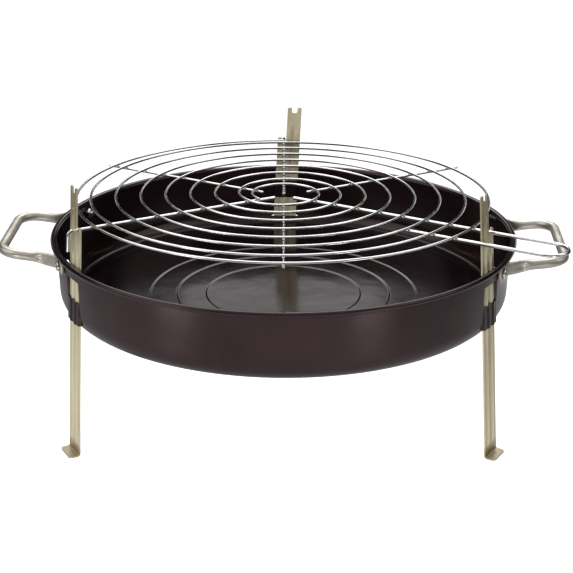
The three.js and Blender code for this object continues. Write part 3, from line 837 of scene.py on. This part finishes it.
def make_support_spoke(node, azimuth, inner):
    """A thick spoke with a hook that hangs outside its leg."""
    corners = [(inner, SPOKE_Z), (HOOK_R, SPOKE_Z), (HOOK_R + HOOK_LEAN, HOOK_END_Z + 0.8)]
    line = rounded_path(corners, [HOOK_BEND], 0.8)
    path = np.stack([line[:, 0], 0 * line[:, 0], line[:, 1]], -1)
    make_grid_wire(f"grid_{node}", node, path, (0, 1, 0), SPOKE_R, 16, azimuth)


def make_plain_spoke(node, azimuth, inner, outer):
    """A thin straight spoke under the spiral."""
    xs = np.linspace(inner + 0.6, outer - 0.6, 60)
    path = np.stack([xs, 0 * xs, PLAIN_Z + 0 * xs], -1)
    make_grid_wire(f"grid_{node}", node, path, (0, 1, 0), WIRE_R, 14, azimuth)


def make_hairpin():
    """The grid's handle: one wire out along its spoke, round a bend and part of the way back."""
    reach = HAIRPIN_REACH + HAIRPIN_WIDTH / 2
    corners = [(HAIRPIN_INNER + 0.8, 0), (reach, 0), (reach, -HAIRPIN_WIDTH)]
    corners += [(HAIRPIN_RETURN + 0.8, -HAIRPIN_WIDTH)]
    bend = HAIRPIN_WIDTH / 2 - 0.01
    line = rounded_path(corners, [bend, bend], 1.0)
    path = np.stack([line[:, 0], line[:, 1], SPOKE_Z + 0 * line[:, 0]], -1)
    name, node = "grid_hairpin_handle", "grid_handle"
    make_grid_wire(name, node, path, (0, 0, 1), SPOKE_R, 16, HAIRPIN_AZIMUTH)


def crossings(azimuth, offset, inner, outer):
    """Places (x along the wire) where the spiral crosses a straight wire beside the axis."""
    places = []
    for lap in range(-1, SPIRAL_WINDING // 360 + 1):
        r = SPIRAL_OUTER_R / 2
        for _ in range(20):  # settles on the radius where the two lines meet
            seen = azimuth + math.degrees(math.asin(max(-1, min(1, offset / r))))
            turned_by = (SPIRAL_START - seen) % 360 + 360 * lap
            r = float(spiral_radius(np.array(turned_by)))
        along = math.sqrt(max(0.0, r * r - offset * offset))
        if -SPIRAL_OVERHANG <= turned_by <= SPIRAL_WINDING and inner < along < outer:
            places.append(along)
    return places


def blob(centre, half_sizes, azimuth):
    """A small closed ellipsoid."""
    rings = []
    around = 2 * np.pi * np.arange(10) / 10
    for t in np.radians(np.linspace(12, 168, 7)):
        x, y = np.sin(t) * np.cos(around), np.sin(t) * np.sin(around)
        ring = np.stack([x, y, np.cos(t) + 0 * around], -1)
        rings.append(np.array(centre) + ring * half_sizes)
    points, faces = closed_tube(rings)
    return turned(points, azimuth), faces


def make_welds():
    """The spot welds that hold the spiral on every spoke."""
    wires = [(azimuth, 0, inner, outer) for azimuth, inner, outer in PLAIN_SPOKES.values()]
    wires += [(azimuth, 0, inner, HOOK_R) for azimuth, inner in SUPPORT_SPOKES.values()]
    wires += [(HAIRPIN_AZIMUTH, 0, HAIRPIN_INNER, WELD_REACH)]
    wires += [(HAIRPIN_AZIMUTH, -HAIRPIN_WIDTH, HAIRPIN_RETURN, WELD_REACH)]
    blobs = []
    for azimuth, offset, inner, outer in wires:
        for along in crossings(azimuth, offset, inner, outer):
            centre = (along, offset, SPIRAL_Z - WIRE_R - 0.05)
            blobs.append(blob(centre, WELD_HALF, azimuth))
    points, faces = joined(blobs)
    piece("grid_spot_welds", points, faces, (CHROME,), "grid", ())


# ---- Carrying handles and their screws ----

TAB_R = wall_radius(HANDLE_Z) + TAB_GAP + TAB_HALF_THICK


def handle_line():
    """Middle line of a handle that points along +X, and the x where its tabs bend away."""
    turn = math.radians(SCREW_ANGLE)
    screw = TAB_R * np.array([math.cos(turn), math.sin(turn)])
    tab = np.array([-math.sin(turn), math.cos(turn)])
    end = screw + tab * (TAB_REACH - 0.6)
    bend = screw - tab * TAB_BACK
    half = [end, bend, (bend[0] + HANDLE_FLARE, HANDLE_HALF), (HANDLE_BAR_R, HANDLE_HALF)]
    corners = half + [(x, -y) for x, y in reversed(half)]
    line = rounded_path(corners, HANDLE_BENDS + HANDLE_BENDS[::-1], 0.8)
    lift = HANDLE_LIFT * smooth((line[:, 0] - bend[0] - 6) / (HANDLE_BAR_R - bend[0] - 6))
    return np.stack([line[:, 0], line[:, 1], HANDLE_Z + lift], -1), bend[0]


def make_handle(side, azimuth):
    """A bent tube whose ends are flattened into upright tabs under the screws."""
    path, bend_x = handle_line()
    flat_to, round_from = (bend_x + past for past in FLATTENING)

    def section(i, angle):
        """Round tube that flattens into an upright tab, with a pressed crease where it does."""
        share = float(smooth((path[i, 0] - flat_to) / (round_from - flat_to)))
        power = 2 / (2 + 1.6 * (1 - share))
        cos, sin = np.cos(angle), np.sin(angle)
        tall = TAB_HALF_TALL + (TUBE_R - TAB_HALF_TALL) * share
        thick = TAB_HALF_THICK + (TUBE_R - TAB_HALF_THICK) * share
        u = tall * np.sign(cos) * np.abs(cos) ** power
        v = thick * np.sign(sin) * np.abs(sin) ** power
        crease = CREASE_DEPTH * math.exp(-((path[i, 0] - flat_to - 5) / 4) ** 2)
        return u, v - np.sign(v) * crease * np.exp(-(u / 1.6) ** 2) * (np.abs(sin) > 0.3)

    points, faces = sweep(path, (0, 0, 1), TAB_HALF_THICK, 32, 0.8, section)
    points = turned(points, azimuth)
    node = f"bowl_handle_{side}"
    piece(f"{node}_tube", points, faces, (NICKEL,), "bowl", [node], 50)


def place_on_wall(points, azimuth):
    """From a screw's own frame, y out along it, to its place on the wall."""
    moved = points + [0, TAB_R, HANDLE_Z]
    return turned(moved, azimuth - 90)


def screw_profile(seat):
    """Radius and height of the screw from its tip to its crown; the head rests on the seat."""
    tip = -TAB_HALF_THICK - SHEET - NUT_THICK - SCREW_TAIL
    profile = [(0.6, tip), (SCREW_R - 0.5, tip), (SCREW_R - 0.1, tip + 0.4)]
    for y in np.arange(tip + 0.6, -TAB_HALF_THICK - SHEET, 0.12):
        wave = 0.5 + 0.5 * math.cos(2 * math.pi * y / THREAD_PITCH)
        profile.append((SCREW_R - THREAD_DEPTH * wave, y))
    profile += [(SCREW_R, seat - 0.2), (SCREW_R, seat), (SCREW_HEAD_R - 0.25, seat)]
    profile += [(SCREW_HEAD_R, seat + 0.25), (SCREW_HEAD_R, seat + SCREW_HEAD_SIDE)]
    crown = SCREW_HEAD_RISE - SCREW_HEAD_SIDE
    for t in np.radians(np.linspace(8, 88, 18)):
        y = seat + SCREW_HEAD_SIDE + crown * math.sin(t) ** 0.8
        profile.append((SCREW_HEAD_R * math.cos(t), y))
    return profile


def cross_recess(x, z):
    """Depth of the cross recess in the head, which is plain and fits any driver."""
    def arm(across, along):
        """Share of the full depth in one arm of the cross."""
        narrow = smooth((RECESS_HALF_WIDTH - np.abs(across)) / 0.25)
        return narrow * smooth((RECESS_HALF_LENGTH - np.abs(along)) / 0.5)

    return RECESS_DEPTH * np.maximum(arm(x, z), arm(z, x))


def make_screw(name, azimuth):
    """Pan-head screw through a handle's tab and the wall."""
    seat = TAB_HALF_THICK + 0.1
    around = 2 * np.pi * np.arange(48) / 48
    rings = []
    for r, y in screw_profile(seat):
        x, z = r * np.cos(around), r * np.sin(around)
        sunk = cross_recess(x, z) if y > seat + SCREW_HEAD_SIDE + 0.05 else 0
        rings.append(np.stack([x, y - sunk + 0 * x, z], -1))
    points, faces = closed_tube(rings)
    spin = math.radians(SCREW_SPIN)
    x, z = points[:, 0].copy(), points[:, 2].copy()
    points[:, 0] = math.cos(spin) * x - math.sin(spin) * z
    points[:, 2] = math.sin(spin) * x + math.cos(spin) * z
    points = place_on_wall(points, azimuth)
    node = f"handle_screw_{name}"
    piece(f"{node}_pan", points, faces, (BRIGHT_ZINC,), "bowl", [node], 40)


def make_nut(name, azimuth):
    """Hexagonal nut with chamfered corners; its bore surrounds the screw's shank."""
    around = 2 * np.pi * np.arange(60) / 60
    flats = NUT_R * math.cos(math.pi / 6)
    hexagon = flats / np.cos((around + np.pi / 6) % (np.pi / 3) - np.pi / 6)
    face = -TAB_HALF_THICK - TAB_GAP - SHEET - NUT_GAP
    bore = SCREW_R + 0.15
    near_side = [(0.0, SCREW_R + 0.5), (0.0, flats - 0.25)]
    for depth in (0.12, 0.3, NUT_CHAMFER):
        limit = flats - 0.25 + NUT_CHAMFER_SLOPE * depth
        near_side.append((depth, np.minimum(hexagon, limit)))
    rows = near_side + [(NUT_THICK - depth, r) for depth, r in near_side[::-1]]
    rows += [(NUT_THICK - 0.3, bore), (0.3, bore)]
    rings = []
    for depth, r in rows:
        r = r + 0 * around
        rings.append(np.stack([r * np.cos(around), face - depth + 0 * r, r * np.sin(around)], -1))
    rings = np.array(rings)
    count, sides = rings.shape[:2]
    faces = []
    for i in range(count):
        for j in range(sides):
            a, b = i * sides + j, i * sides + (j + 1) % sides
            c, d = (b + sides) % (count * sides), (a + sides) % (count * sides)
            faces.append(((a, b, c, d), 0))
    points = place_on_wall(rings.reshape(-1, 3), azimuth)
    node = f"handle_nut_{name}"
    piece(f"{node}_hex", points, faces, (BRIGHT_ZINC,), "bowl", [node], 30)


# ---- Studio ----

RIM_CENTRE = Vector((0, 0, RIM_Z * MM))
CAMERA_DISTANCE = 1.0736
CAMERA_ELEVATION = math.radians(18.5)
CAMERA_ROLL = math.radians(0.28)
CAMERA_LENS = 86.3
CAMERA_SHIFT = (0.005, -0.0994)

ROOM_LIGHT = 0.02
# Soft panels that only reflections see: direction, radius in degrees of the even part and of the
# outer edge, strength. They are, in order: above and behind, overhead, in front, left, right,
# low behind on the right and low behind on the left.
PANELS = (
    ((0.0, 0.62, 0.8), 22, 32, 2.4),
    ((0.0, -0.1, 1.0), 36, 60, 0.4),
    ((0.0, -1.0, 0.6), 10, 34, 0.15),
    ((-0.8, -0.25, 0.5), 16, 34, 1.2),
    ((0.85, -0.2, 0.5), 12, 28, 1.0),
    ((0.45, 0.88, 0.03), 4, 15, 0.9),
    ((-0.45, 0.88, 0.03), 4, 13, 0.5),
)


def make_camera():
    """A long lens in front and above, aimed at the rim's middle and shifted to frame the grill."""
    data = bpy.data.cameras.new("camera")
    data.sensor_width = 36
    data.lens = CAMERA_LENS
    data.shift_x, data.shift_y = CAMERA_SHIFT
    camera = bpy.data.objects.new("camera", data)
    back = Vector((0, -math.cos(CAMERA_ELEVATION), math.sin(CAMERA_ELEVATION)))
    camera.location = RIM_CENTRE + back * CAMERA_DISTANCE
    aim = (-back).to_track_quat("-Z", "Y").to_matrix()
    roll = Matrix.Rotation(CAMERA_ROLL, 3, "Z")
    camera.rotation_euler = (aim @ roll).to_euler()
    bpy.context.scene.collection.objects.link(camera)
    bpy.context.scene.camera = camera


def area_light(name, place, target, size, power, mirrored=True):
    """A soft rectangle of light; one that is not mirrored lights only the matt part of surfaces."""
    data = bpy.data.lights.new(name, "AREA")
    data.shape = "RECTANGLE"
    data.size, data.size_y = size
    data.energy = power
    light = bpy.data.objects.new(name, data)
    light.visible_camera = False
    light.visible_glossy = mirrored
    light.location = place
    aim = Vector(target) - Vector(place)
    light.rotation_euler = aim.to_track_quat("-Z", "Y").to_euler()
    bpy.context.scene.collection.objects.link(light)


def make_world():
    """White for the camera; reflections see a dark room with soft panels, matt light sees nothing."""
    world = bpy.data.worlds.new("studio")
    bpy.context.scene.world = world
    world.use_nodes = True
    tree = world.node_tree
    tree.nodes.clear()
    link = tree.links.new

    def math_node(operation, a, b):
        """One Math node on numbers or node outputs."""
        made = tree.nodes.new("ShaderNodeMath")
        made.operation = operation
        for socket, value in zip(made.inputs, (a, b)):
            if isinstance(value, bpy.types.NodeSocket):
                link(value, socket)
            else:
                socket.default_value = value
        return made.outputs[0]

    place = tree.nodes.new("ShaderNodeTexCoord").outputs["Generated"]
    light = ROOM_LIGHT
    for direction, inner, outer, strength in PANELS:
        facing = tree.nodes.new("ShaderNodeVectorMath")
        facing.operation = "DOT_PRODUCT"
        link(place, facing.inputs[0])
        facing.inputs[1].default_value = Vector(direction).normalized()
        edge = tree.nodes.new("ShaderNodeMapRange")
        edge.interpolation_type = "SMOOTHSTEP"
        edge.inputs["From Min"].default_value = math.cos(math.radians(outer))
        edge.inputs["From Max"].default_value = math.cos(math.radians(inner))
        edge.inputs["To Max"].default_value = strength
        link(facing.outputs["Value"], edge.inputs["Value"])
        light = math_node("ADD", edge.outputs[0], light)
    ray = tree.nodes.new("ShaderNodeLightPath").outputs
    light = math_node("MULTIPLY", light, ray["Is Glossy Ray"])
    background = tree.nodes.new("ShaderNodeBackground")
    background.inputs["Color"].default_value = (1, 1, 1, 1)
    link(math_node("MAXIMUM", light, ray["Is Camera Ray"]), background.inputs["Strength"])
    output = tree.nodes.new("ShaderNodeOutputWorld")
    link(background.outputs[0], output.inputs["Surface"])


def floor_paper():
    """Pale paper, white for the camera; what reflections see of it carries a painted pool of light that
    darkens away from the grill.
    """
    look = Look("floor_paper", Roughness=0.9)
    away = look.node("ShaderNodeVectorMath", operation="LENGTH", in_0=look.place).outputs["Value"]
    paper = look.ramp(look.noise(4, 2), (0.4, 0.46), (0.6, 0.48))
    painted_falloff = look.ramp(away, (0.30, 0.0), (0.75, 1.0))
    look.set("Base Color", look.mix(painted_falloff, paper, (0.10, 0.10, 0.10)))
    look.set("Emission Color", (1, 1, 1, 1))
    look.set("Emission Strength", look.node("ShaderNodeLightPath").outputs["Is Camera Ray"])
    return look.material


def make_floor():
    """A plain floor just under the feet."""
    mesh = bpy.data.meshes.new("floor")
    edge, z = 6.0, (TABLE_Z - 0.05) * MM
    corners = [(-edge, -edge, z), (edge, -edge, z), (edge, edge, z), (-edge, edge, z)]
    mesh.from_pydata(corners, [], [(0, 1, 2, 3)])
    mesh.materials.append(floor_paper())
    floor = bpy.data.objects.new("floor", mesh)
    bpy.context.scene.collection.objects.link(floor)


# ---- Assembly ----

make_bowl()
for leg in LEGS:
    make_leg(leg)
make_spiral()
for node, (azimuth, inner) in SUPPORT_SPOKES.items():
    make_support_spoke(node, azimuth, inner)
for node, (azimuth, inner, outer) in PLAIN_SPOKES.items():
    make_plain_spoke(node, azimuth, inner, outer)
make_hairpin()
make_welds()
for side, (azimuth, ends) in HANDLES.items():
    make_handle(side, azimuth)
    for end, sign in zip(ends, (-1, 1)):
        make_screw(f"{side}_{end}", azimuth + sign * SCREW_ANGLE)
        make_nut(f"{side}_{end}", azimuth + sign * SCREW_ANGLE)

make_floor()
make_world()
area_light("key", (-0.35, -1.45, 0.55), (0, 0, 0.05), (0.7, 0.5), 56, mirrored=False)
area_light("fill", (0.6, 1.3, 0.7), (0, 0, 0.05), (0.7, 0.5), 24, mirrored=False)
area_light("back", (0.0, 1.2, 0.68), (0, 0, 0.0), (0.36, 0.50), 0.38)
area_light("card_left", (-0.33, -0.35, -0.045), (0, 0, -0.02), (0.13, 0.09), 0.12)
area_light("card_right", (0.27, -0.40, -0.045), (0, 0, -0.02), (0.10, 0.09), 0.10)
area_light("card_edge", (0.36, 0.20, -0.03), (0.16, -0.05, 0), (0.16, 0.12), 0.06)
make_camera()
bpy.context.scene.view_settings.view_transform = "Standard"
